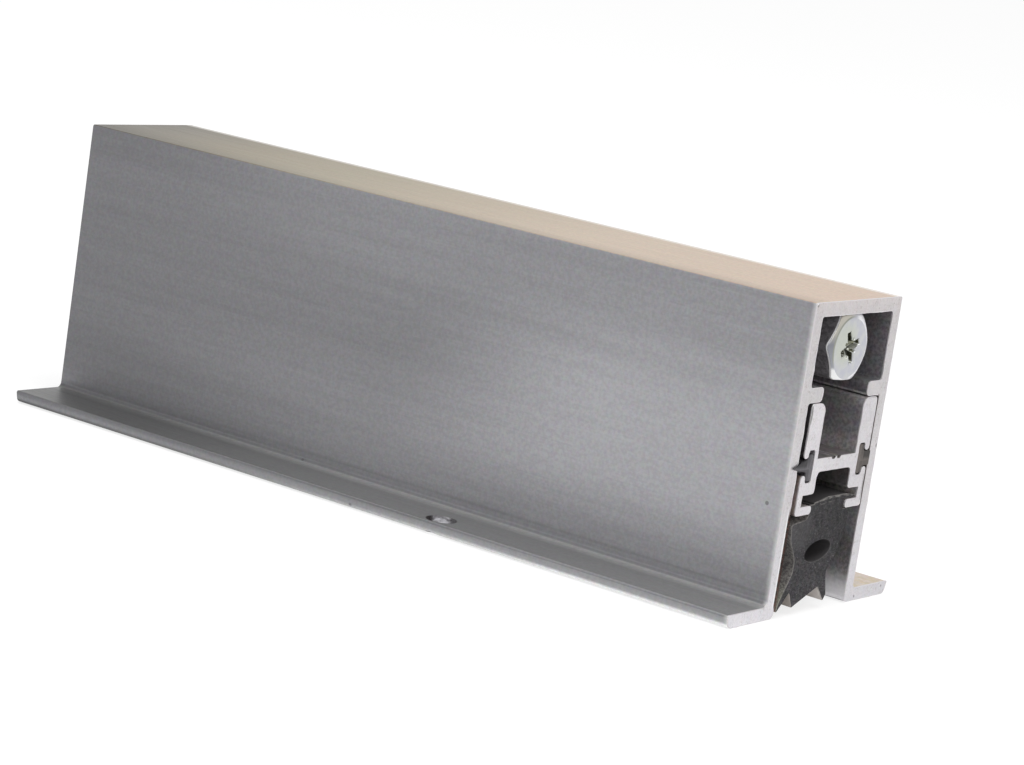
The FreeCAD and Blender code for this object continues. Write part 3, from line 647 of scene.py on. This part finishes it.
def wiper_material(name, light, dark):
    """Soft vinyl, slightly dusty, with painted shade beside the wall and on the fin's upper side."""
    g = Graph(name)
    grain = g.noise((1.2, 2.5, 2.5), 4.0, 0.6)
    shade = g.mix(g.step(grain, 0.35, 0.68), g.vector("MULTIPLY", light, 0.9), light)
    # Painted shade beside the wall and on the fin's upper side
    shade = g.mix(g.times(g.step(g.z, 17.9, 19.3), g.step(g.aside, 5.7, 6.1)), shade, dark)
    lower_half_shade = g.times(g.step(g.aside, 5.85, 6.05), g.below(g.z, 18.0))
    shade = g.mix(g.times(lower_half_shade, 0.8), shade, dark)
    fin_top_shade = g.times(g.above(g.aside, 6.6), g.step(g.z, 18.0, 18.6))
    shade = g.mix(fin_top_shade, shade, g.vector("MULTIPLY", dark, 0.4))
    shade = toned(g, shade, g.noise((0.3, 0.8, 0.8), 2.0, 0.5, 7.0), 0.3)
    g.bump(grain, 0.03, 0.6)
    return g.finish(shade, 0.55, specular=0.4)


# Mechanism

def moulded_material(name, shade, rough):
    """Moulded plastic with a fine spark-eroded grain."""
    g = Graph(name)
    grain = g.noise(5.0, 3.0, 0.6)
    shade = toned(g, shade, g.noise(0.3, 2.0, 0.5, 3.0), 0.4)
    g.bump(grain, 0.015, 0.8)
    return g.finish(toned(g, shade, grain, 0.3), g.math("ADD", rough, g.times(grain, 0.12)))


def metal_material(name, light, dark, rough, per_mm=2.0, metallic=0.85):
    """Plain steel or cast metal with drawn or cast marks."""
    g = Graph(name)
    grain = g.noise(per_mm, 4.0, 0.65)
    shade = g.mix(g.step(grain, 0.35, 0.68), dark, light)
    g.bump(grain, 0.02, 0.6)
    return g.finish(shade, g.math("ADD", rough, g.times(grain, 0.15)), metallic)


def give(look, *nodes):
    """Puts a look on nodes of the part."""
    for node in nodes:
        materials = frame["nodes"][node].data.materials
        materials.clear()
        materials.append(look)
    return look


give(housing_material(), "housing")
give(carrier_material(), "drop_bar")
zinc_look = give(zinc_material(), "adjusting_screw", "lock_nut", "front_saddle_screw", "rear_saddle_screw")
# Near-white zinc, a painted highlight for the head's edge
edge_highlight_look = metal_material("zinc_edge_highlight", grey(255), grey(236), 0.3, 1.5, 0.1)
rubber_look = give(rubber_material(), "rubber_seal")
left_wiper_look = wiper_material("grey_vinyl", colour(93, 91, 95), colour(63, 61, 65))
give(left_wiper_look, "left_wiper_strip")
right_wiper_look = wiper_material("aged_vinyl", colour(94, 87, 83), colour(72, 66, 63))
give(right_wiper_look, "right_wiper_strip")
give(moulded_material("dark_nylon", colour(72, 70, 73), 0.6), "slide_block", "guide_block", "saddle")
give(
    metal_material("ground_steel", grey(176), grey(140), 0.28, (1.0, 6.0, 6.0)),
    "front_spring_pin", "rear_spring_pin", "keeper_pin", "front_guide_pin", "rear_guide_pin",
)
give(
    metal_material("spring_strip", colour(92, 92, 100), colour(66, 66, 74), 0.32, (0.3, 5.0, 5.0)),
    "bow_spring",
)
give(
    metal_material("black_oxide", grey(60), grey(38), 0.4),
    "guide_block_set_screw", "left_anchor_set_screw", "right_anchor_set_screw",
)
give(metal_material("cast_zinc", grey(140), grey(108), 0.5, 1.6), "anchor_block")


# Mesh helpers

def rounded(corners, turn=12.0):
    """Points of an outline through (u, v, radius) corners, each corner rounded by its own radius."""
    points = []
    for index, (u, v, radius) in enumerate(corners):
        corner = Vector((u, v))
        before = (Vector(corners[index - 1][:2]) - corner).normalized()
        after = (Vector(corners[(index + 1) % len(corners)][:2]) - corner).normalized()
        half_angle = before.angle(after) / 2
        centre = corner + (before + after).normalized() * (radius / math.sin(half_angle))
        start = corner + before * (radius / math.tan(half_angle)) - centre
        end = corner + after * (radius / math.tan(half_angle)) - centre
        swing = start.angle_signed(end)
        count = max(2, int(abs(math.degrees(swing)) / turn))
        for number in range(count + 1):
            angle = -swing * number / count
            spun = Matrix.Rotation(angle, 2) @ start
            points.append(centre + spun)
    return points


def spaced(points, gap):
    """The same outline with points at even gaps on its long runs."""
    result = []
    for index, point in enumerate(points):
        following = points[(index + 1) % len(points)]
        count = max(1, round((following - point).length / gap))
        result += [point.lerp(following, number / count) for number in range(count)]
    return result


def limited(value):
    """The value, or 0 or 1 where it lies beyond them."""
    return max(0.0, min(1.0, value))


def area(points):
    return sum(a.cross(b) for a, b in zip(points, points[1:] + points[:1])) / 2


def inset(points, distance):
    """Moves each point of an outline inwards."""
    side = 1 if area(points) > 0 else -1
    moved = []
    for index, point in enumerate(points):
        along = (points[(index + 1) % len(points)] - points[index - 1]).normalized()
        moved.append(point + Vector((-along.y, along.x)) * distance * side)
    return moved


def new_object(name, data):
    """New object in the scene."""
    item = bpy.data.objects.new(name, data)
    bpy.context.scene.collection.objects.link(item)
    return item


def object_from(name, mesh, look):
    """Turns a mesh that is being built into an object in the scene."""
    mesh.normal_update()
    data = bpy.data.meshes.new(name)
    mesh.to_mesh(data)
    mesh.free()
    data.materials.append(look)
    return new_object(name, data)


def piece_from(name, mesh, look, body):
    """Object that belongs to the part and moves with one of its bodies."""
    bmesh.ops.recalc_face_normals(mesh, faces=mesh.faces)
    piece = object_from(name, mesh, look)
    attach(piece, body)
    return piece


def bridge(mesh, rings, smooth=True):
    """Joins each ring of vertices to the next with a band of faces."""
    for first, second in zip(rings, rings[1:]):
        for index in range(len(first)):
            ahead = (index + 1) % len(first)
            mesh.faces.new((first[index], first[ahead], second[ahead], second[index])).smooth = smooth


def extrusion(name, outline, holes, stations, warp, look, body, face_gap, face_rough):
    """Soft extrusion: rings at (x, inset) stations, joined along X, with rough sawn ends."""
    mesh = bmesh.new()
    end_rings = []
    for loop, sign in [(outline, 1)] + [(hole, -1) for hole in holes]:
        rings = []
        for x, edge in stations:
            ring = inset(loop, edge * sign)
            rings.append([mesh.verts.new(warp(Vector((x, *p))) * MM) for p in ring])
        bridge(mesh, rings)
        end_rings.append((rings[0], rings[-1]))
    for end in (0, 1):
        x, edge = stations[-1 if end else 0]
        sawn_end(mesh, [rings[end] for rings in end_rings], x, face_gap, face_rough, 1 if end else -1)
    return piece_from(name, mesh, look, body)


def within(point, loop):
    """Whether a place lies inside a closed loop of points."""
    crossed = False
    for first, second in zip(loop, loop[1:] + loop[:1]):
        if (first.y > point.y) != (second.y > point.y):
            share = (point.y - first.y) / (second.y - first.y)
            if point.x < first.x + (second.x - first.x) * share:
                crossed = not crossed
    return crossed


def sawn_end(mesh, loops, x, gap, rough, outward):
    """Closes an end with a face that is uneven, as a saw leaves it. Loops after the first are holes."""
    rims = [vertex for loop in loops for vertex in loop]
    points = [vertex.co.yz / MM for vertex in rims]
    holes = [[vertex.co.yz / MM for vertex in loop] for loop in loops[1:]]
    edges = []
    start = 0
    for loop in loops:
        count = len(loop)
        edges += [(start + number, start + (number + 1) % count) for number in range(count)]
        start += count
    low = Vector((min(p.x for p in points), min(p.y for p in points)))
    high = Vector((max(p.x for p in points), max(p.y for p in points)))
    chance = random.Random(7)
    rows = int((high.y - low.y) / gap)
    columns = int((high.x - low.x) / gap)
    inner = []
    for row in range(1, rows):
        for column in range(1, columns):
            spot = low + Vector((column + chance.uniform(-0.3, 0.3), row + chance.uniform(-0.3, 0.3))) * gap
            clear = min((spot - rim).length for rim in points) > gap * 0.6
            if clear and not any(within(spot, hole) for hole in holes):
                inner.append(spot)
    placed, _, faces, sources, _, _ = delaunay_2d_cdt(points + inner, edges, [], 1, 1e-6)
    vertices = {}
    for index, (place, source) in enumerate(zip(placed, sources)):
        kept = [number for number in source if number < len(rims)]
        if kept:
            vertices[index] = rims[kept[0]]
            continue
        height = noise.noise(Vector((place.x * 1.7, place.y * 1.7, x))) * rough
        height += noise.noise(Vector((place.x * 4.3, place.y * 4.3, x + 5))) * rough * 0.6
        vertices[index] = mesh.verts.new(Vector((x + outward * height, *place)) * MM)
    for face in faces:
        corners = [vertices[index] for index in face]
        centre = (placed[face[0]] + placed[face[1]] + placed[face[2]]) / 3
        if len(set(corners)) == 3 and not any(within(centre, hole) for hole in holes):
            mesh.faces.new(corners)
    loose = [vertex for vertex in mesh.verts if not vertex.link_faces]
    bmesh.ops.delete(mesh, geom=loose, context="VERTS")


def stations_between(start, end, gap, bevel):
    """Places of the rings along X, with a small bevel at each cut end."""
    run = end - start - 2 * bevel
    count = round(run / gap)
    return [
        (start, bevel), (start + bevel, 0.0), (start + bevel * 2.2, 0.0),
        *[(start + bevel + run * number / count, 0.0) for number in range(1, count)],
        (end - bevel * 2.2, 0.0), (end - bevel, 0.0), (end, bevel),
    ]


# Rubber seal

def seal_outline():
    """The seal's section, leaning left: head in the slot, flanks and three fins."""
    neck, shoulder, foot, floor, head = 3.85, 12.25, 0.85, 13.475, 6.4
    return rounded([
        (-neck - 0.35, floor - 0.08, 0.1), (-2.0, floor + 0.25, 4.0), (0.2, floor + 0.62, 4.0),
        (4.4, floor + 0.62, 2.0), (head, floor + 0.3, 0.25), (head, floor, 0.12), (neck, floor, 0.2),
        (neck, shoulder, 0.2), (neck + 2.2, shoulder, 1.1), (neck + 1.5, 9.85, 2.5), (neck + 0.5, 6.9, 2.5),
        (neck - 1.4, 4.6, 1.1), (neck - 0.4, 1.65, 0.55), (neck - 0.95, foot, 0.12),
        (neck - 1.9, 1.9, 0.55), (neck - 2.75, 2.8, 0.28), (-neck - 0.5, foot, 0.12),
        (-neck - 1.65, 2.8, 0.15), (-neck - 3.0, 1.5, 2.5), (-neck - 4.15, foot - 0.45, 0.12),
        (-neck - 3.6, 2.1, 1.5), (-neck - 1.6, 5.2, 1.7), (-neck - 1.6, 6.8, 1.7),
        (-neck - 3.2, 9.2, 1.3), (-neck - 3.6, 11.3, 0.4), (-neck - 0.5, 11.6, 0.7),
        (-neck, shoulder - 0.1, 0.15), (-neck, floor - 0.08, 0.1),
    ])


def seal_hole():
    """Slanted oval hole through the seal."""
    turn = Matrix.Rotation(math.radians(6.5), 2)
    middle = Vector(seal_hole_middle)
    angles = [math.radians(10 * number) for number in range(36)]
    return [middle + turn @ Vector((2.95 * math.cos(angle), 1.27 * math.sin(angle))) for angle in angles]


def seal_warp(point):
    """Soft waves along the fins and flanks."""
    low = limited((12.0 - point.z) / 11.0)
    swing = noise.noise(Vector((point.x * 0.09, 3.0, point.z * 0.12)))
    lift = noise.noise(Vector((point.x * 0.16, 9.0 + point.y * 0.2, 0.0)))
    return Vector((point.x, point.y + 0.16 * low * swing, point.z + 0.08 * low * abs(lift)))


seal = extrusion(
    "rubber_seal_body", spaced(seal_outline(), 0.5), [seal_hole()],
    stations_between(bar_far_end, seal_end, 2.2, 0.07),
    seal_warp, rubber_look, "drop_bar", 0.36, 0.07,
)
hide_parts("rubber_seal")


# Wiper strips

def left_wiper_warp(point):
    """The fin sweeps the wall, and at the cut end its tip curls out over the wall's end."""
    fin_root, fin_length, fin_middle = -6.6, 1.5, 18.45
    out = max(0.0, (fin_root - point.y) / fin_length)
    wave = noise.noise(Vector((point.x * 0.2, 1.0, 0.0)))
    end = limited((point.x - housing_end) / 0.12)
    y = point.y - 1.25 * end * out ** 2
    pinch = 1 - 0.6 * end * out
    z = fin_middle + (point.z - fin_middle) * (pinch if point.y < fin_root - 0.1 else 1.0)
    return Vector((point.x, y, z + 0.12 * out * wave - 0.1 * out ** 2))


left_wiper = extrusion(
    "left_wiper", spaced(rounded([
        (-5.32, 16.5, 0.35), (-6.5, 16.5, 0.45), (-6.55, 17.6, 0.12), (-7.6, 17.65, 0.3), (-8.15, 18.0, 0.2),
        (-8.15, 18.5, 0.2), (-7.5, 19.1, 0.4), (-6.55, 19.25, 0.12), (-6.5, 19.7, 0.4), (-5.32, 19.75, 0.3),
    ], 20.0), 0.3), [], stations_between(bar_far_end, bar_end - 0.4, 2.0, 0.08) + [
        (bar_end - 0.36, 0.0), (bar_end - 0.2, 0.0), (bar_end - 0.1, 0.0), (bar_end, 0.08),
    ],
    left_wiper_warp, left_wiper_look, "drop_bar", 0.3, 0.03,
)
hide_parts("left_wiper_strip")


def right_wiper_warp(point):
    return Vector((point.x, point.y, point.z + 0.04 * noise.noise(Vector((point.x * 0.2, 5.0, 0.0)))))


right_wiper = extrusion(
    "right_wiper", spaced(rounded([
        (5.32, 16.5, 0.35), (6.4, 16.5, 0.45), (6.5, 17.1, 0.1), (6.85, 17.35, 0.3), (8.2, 17.35, 0.15),
        (8.2, 19.2, 0.15), (6.85, 19.2, 0.3), (6.5, 19.4, 0.1), (6.4, 20.15, 0.45), (5.32, 20.15, 0.4),
    ], 20.0), 0.3), [], stations_between(bar_far_end, bar_end, 2.0, 0.08),
    right_wiper_warp, right_wiper_look, "drop_bar", 0.3, 0.03,
)
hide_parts("right_wiper_strip")


# Adjusting screw

def hexagon_reach(angle, across=8.0):
    """Distance from the axis to a hexagon's side, one flat up but for a slight turn."""
    turn = math.radians(60)
    reach = across / 2 / math.cos(((angle + math.radians(2.4)) % turn) - turn / 2)
    blunt = 4.42
    return min(reach, blunt + (reach - blunt) * 0.25)


def inside_cross(u, v, reach, half, taper=0.0):
    """How far inside a cross with two arms a place lies, under 0 outside it."""
    u, v = abs(u), abs(v)
    return max(min(reach - a, half - taper * a / reach - b) for a, b in ((u, v), (v, u)))


def recess_depth(u, v):
    """Depth of the cross recess at a place on the head's face: four wings and four thin ticks."""
    turn = math.radians(21)
    a = u * math.cos(turn) + v * math.sin(turn)
    b = -u * math.sin(turn) + v * math.cos(turn)
    wing = inside_cross(a, b, 2.1, 0.62, 0.16)
    tick = inside_cross((a + b) / math.sqrt(2), (b - a) / math.sqrt(2), 1.35, 0.2)
    distance = math.hypot(a, b)
    deep = limited(wing / 0.14) * (1.6 - 0.45 * distance)
    shallow = limited(tick / 0.12) * max(0.0, 1.2 - 0.6 * distance)
    return max(deep, shallow)


def screw_head(mesh, segments):
    """Head as rings from the middle of its face, over the chamfer and down the flats to the shank."""
    centre = Vector(head_middle)
    axis = Vector((0, screw_axis))

    def turned(angle, reach):
        return Vector((math.cos(angle), math.sin(angle))) * reach

    def face_x(place):
        offset = place - centre
        slope = max(0.0, offset.length - head_radius) * math.tan(math.radians(24))
        soft = 0.04 * math.exp(-((offset.length - head_radius) / 0.1) ** 2)
        return head_face - slope - soft - (recess_depth(*offset) if offset.length < 2.6 else 0.0)

    def ring(place_of, x_of):
        places = [place_of(2 * math.pi * number / segments) for number in range(segments)]
        return [mesh.verts.new(Vector((x_of(place), *place)) * MM) for place in places]

    def hexagon(angle, less=0.0):
        return axis + turned(angle, hexagon_reach(angle) - less)

    def bevelled(angle, share):
        return (centre + turned(angle, head_radius + 0.06)).lerp(hexagon(angle), share)

    radii = [0.07 * number for number in range(1, 36)] + [2.8, 3.1, 3.4]
    radii += [head_radius - gap for gap in (0.12, 0.06, 0.0, -0.06)]
    rings = [ring(lambda angle: centre + turned(angle, radius), face_x) for radius in radii]
    rings += [ring(lambda angle: bevelled(angle, share), face_x) for share in (0.35, 0.7, 0.93)]
    rings += [ring(hexagon, lambda place: face_x(place) - depth) for depth in (0.05, 0.24)]
    for x in (head_face - 1.3, head_face - 2.6, head_back + 0.06):
        rings.append(ring(hexagon, lambda place: min(x, face_x(place) - 0.26)))
    rings.append(ring(lambda angle: hexagon(angle, 0.06), lambda place: head_back))
    for radius in (3.6, 2.5):
        rings.append(ring(lambda angle: axis + turned(angle, radius), lambda place: head_back))
    middle = mesh.verts.new(Vector((face_x(centre), *centre)) * MM)
    for index in range(segments):
        mesh.faces.new((middle, rings[0][index], rings[0][(index + 1) % segments]))
    return rings


def threaded_shank(mesh, segments):
    """Metric thread of 0.8 mm pitch along the shank, from the head to a bevelled tip."""
    pitch, crest, root = 0.8, 2.48, 2.05
    length = head_back - shank_end
    rings_per_turn = 6
    count = round(length / pitch * rings_per_turn)
    rings = []
    for number in range(count + 1):
        x = head_back - length * number / count
        loop = []
        for step in range(segments):
            angle = 2 * math.pi * step / segments
            phase = (x / pitch + step / segments) % 1
            height = 1 - abs(2 * phase - 1)
            radius = root + (crest - root) * limited((height - 0.12) / 0.72)
            radius = min(radius, root - 0.1 + (x - shank_end) * 0.9)
            if number == 0:
                radius = 2.5
            place = Vector((x, radius * math.cos(angle), screw_axis + radius * math.sin(angle)))
            loop.append(mesh.verts.new(place * MM))
        rings.append(loop)
    tip = mesh.verts.new(Vector((shank_end, 0, screw_axis)) * MM)
    for index in range(segments):
        mesh.faces.new((tip, rings[-1][(index + 1) % segments], rings[-1][index]))
    return rings


screw_mesh = bmesh.new()
head_rings = screw_head(screw_mesh, 192)
bridge(screw_mesh, head_rings)
# The head's edge, where the chamfer turns into the flats, gets a painted highlight
painted_bright = set(head_rings[-8]) | set(head_rings[-7])
for face in screw_mesh.faces:
    if painted_bright.issuperset(face.verts):
        face.material_index = 1
bridge(screw_mesh, threaded_shank(screw_mesh, 48))
screw = piece_from("plunger_screw", screw_mesh, zinc_look, "plunger")
screw.data.materials.append(edge_highlight_look)
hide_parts("adjusting_screw")


# Ragged lip that the saw left round the cut ends

def cut_edges(node, x):
    """Edges round a node's cut face, each with the way out of the metal, in millimetres."""
    data = frame["nodes"][node].data
    owners = {}
    for polygon in data.polygons:
        if abs(polygon.center.x / MM - x) < 0.01 and abs(polygon.normal.x) > 0.99:
            for key in polygon.edge_keys:
                owners.setdefault(key, []).append(polygon)
    for (first, second), polygons in owners.items():
        if len(polygons) == 1:
            a, b = data.vertices[first].co / MM, data.vertices[second].co / MM
            side = Vector((1, 0, 0)).cross(b - a).normalized()
            if side.dot(polygons[0].center / MM - a) > 0:
                side = -side
            yield a, b, side


def ragged_lip(name, node, x, look, body):
    """Thin raised sliver along each edge of a cut face."""
    mesh = bmesh.new()
    for a, b, side in cut_edges(node, x):
        count = max(1, round((b - a).length / 0.6))
        rows = []
        for number in range(count + 1):
            place = a.lerp(b, number / count)
            rise = 0.035 + 0.12 * max(0.0, noise.noise(place * 0.9 + Vector((0, 7, 3))))
            rise *= 0.7 + 0.6 * noise.noise(place * 5.0)
            spots = (
                place - side * 0.07 + Vector((0.004, 0, 0)),
                place + side * rise * 0.35 + Vector((rise, 0, 0)),
                place + side * 0.012 - Vector((0.12, 0, 0)),
            )
            rows.append([mesh.verts.new(spot * MM) for spot in spots])
        bridge(mesh, rows, smooth=False)
        mesh.faces.new(rows[0])
        mesh.faces.new(rows[-1][::-1])
    piece_from(name, mesh, look, body)


def lip_material():
    """Bright torn metal, with painted gap shadow at the wall's edges and painted shade in the web's notches.
    """
    g = Graph("torn_metal")
    g.bump(g.noise(3.0, 3.0, 0.6), 0.02)
    shade = mottled(g, colour(212, 209, 211), 1.5, 0.2)
    # Painted gap shadow where the lip runs beside the bar and seal
    gap_shadow, gap_shadow_shade = edge_gap_shadow(g)
    shade = g.mix(gap_shadow, shade, gap_shadow_shade)
    return g.finish(g.mix(drill_notches(g), shade, colour(74, 68, 66)), 0.45, 0.6)


lip_look = lip_material()
ragged_lip("housing_cut_lip", "housing", housing_end, lip_look, "housing")
ragged_lip("carrier_cut_lip", "drop_bar", bar_end, lip_look, "drop_bar")


# Floor, light and camera

def seen_white(material, share, strength):
    """Mixes plain white into a stage material, for the camera and for mirrors only."""
    tree = material.node_tree
    graph = Nodes(tree)
    output = next(node for node in tree.nodes if node.type.startswith("OUTPUT"))
    under = output.inputs["Surface"].links[0].from_socket
    path = tree.nodes.new("ShaderNodeLightPath")
    glow = tree.nodes.new("ShaderNodeEmission")
    glow.inputs["Strength"].default_value = strength
    seen = path.outputs["Is Camera Ray"]
    for name in ("Is Glossy Ray", "Is Transmission Ray"):
        seen = graph.math("MAXIMUM", seen, path.outputs[name])
    mixed = tree.nodes.new("ShaderNodeMixShader")
    for value, socket in zip((graph.times(seen, share), under, glow.outputs[0]), mixed.inputs):
        graph.join(value, socket)
    tree.links.new(mixed.outputs[0], output.inputs["Surface"])


def make_floor():
    mesh = bmesh.new()
    bmesh.ops.create_grid(mesh, x_segments=2, y_segments=2, size=3.0)
    material = bpy.data.materials.new("floor_white")
    material.use_nodes = True
    shader = material.node_tree.nodes["Principled BSDF"]
    for name, value in (("Base Color", (0.8, 0.8, 0.8, 1)), ("Roughness", 1.0), ("Specular IOR Level", 0.0)):
        shader.inputs[name].default_value = value
    seen_white(material, 0.62, 1.2)
    floor = object_from("floor", mesh, material)
    floor.location = (0, 0, -0.0001)


def make_world():
    world = bpy.data.worlds.new("studio")
    world.use_nodes = True
    background = world.node_tree.nodes["Background"]
    background.inputs["Color"].default_value = (1, 1, 1, 1)
    background.inputs["Strength"].default_value = 0.72
    seen_white(world, 0.62, 1.17)
    bpy.context.scene.world = world


def make_lamp(name, place, aim, size, power):
    light = bpy.data.lights.new(name, "AREA")
    light.size = size
    light.energy = power
    lamp = new_object(name, light)
    lamp.location = place
    lamp.rotation_euler = (Vector(aim) - Vector(place)).to_track_quat("-Z", "Y").to_euler()


def make_camera():
    """Camera at the photograph's place: the axes are its right, its up and its back."""
    data = bpy.data.cameras.new("camera")
    data.sensor_width = 36.0
    data.lens = 112.74
    data.clip_start = 0.01
    data.clip_end = 20.0
    camera = new_object("camera", data)
    right = Vector((0.7971, 0.5857, 0.1470)).normalized()
    back = Vector((0.5609, -0.8083, 0.1792)).normalized()
    up = back.cross(right).normalized()
    right = up.cross(back)
    turned = Matrix((right, up, back)).transposed().to_4x4()
    camera.matrix_world = Matrix.Translation((0.2381, -0.3290, 0.0900)) @ turned
    bpy.context.scene.camera = camera


make_floor()
make_world()
make_lamp("top_lamp", (0.25, -0.15, 0.9), (0, 0, 0.02), 0.6, 4.0)
make_lamp("end_lamp", (0.9, -0.35, 0.35), (0.05, 0, 0.02), 0.4, 1.8)
make_camera()
bpy.context.scene.view_settings.view_transform = "Standard"
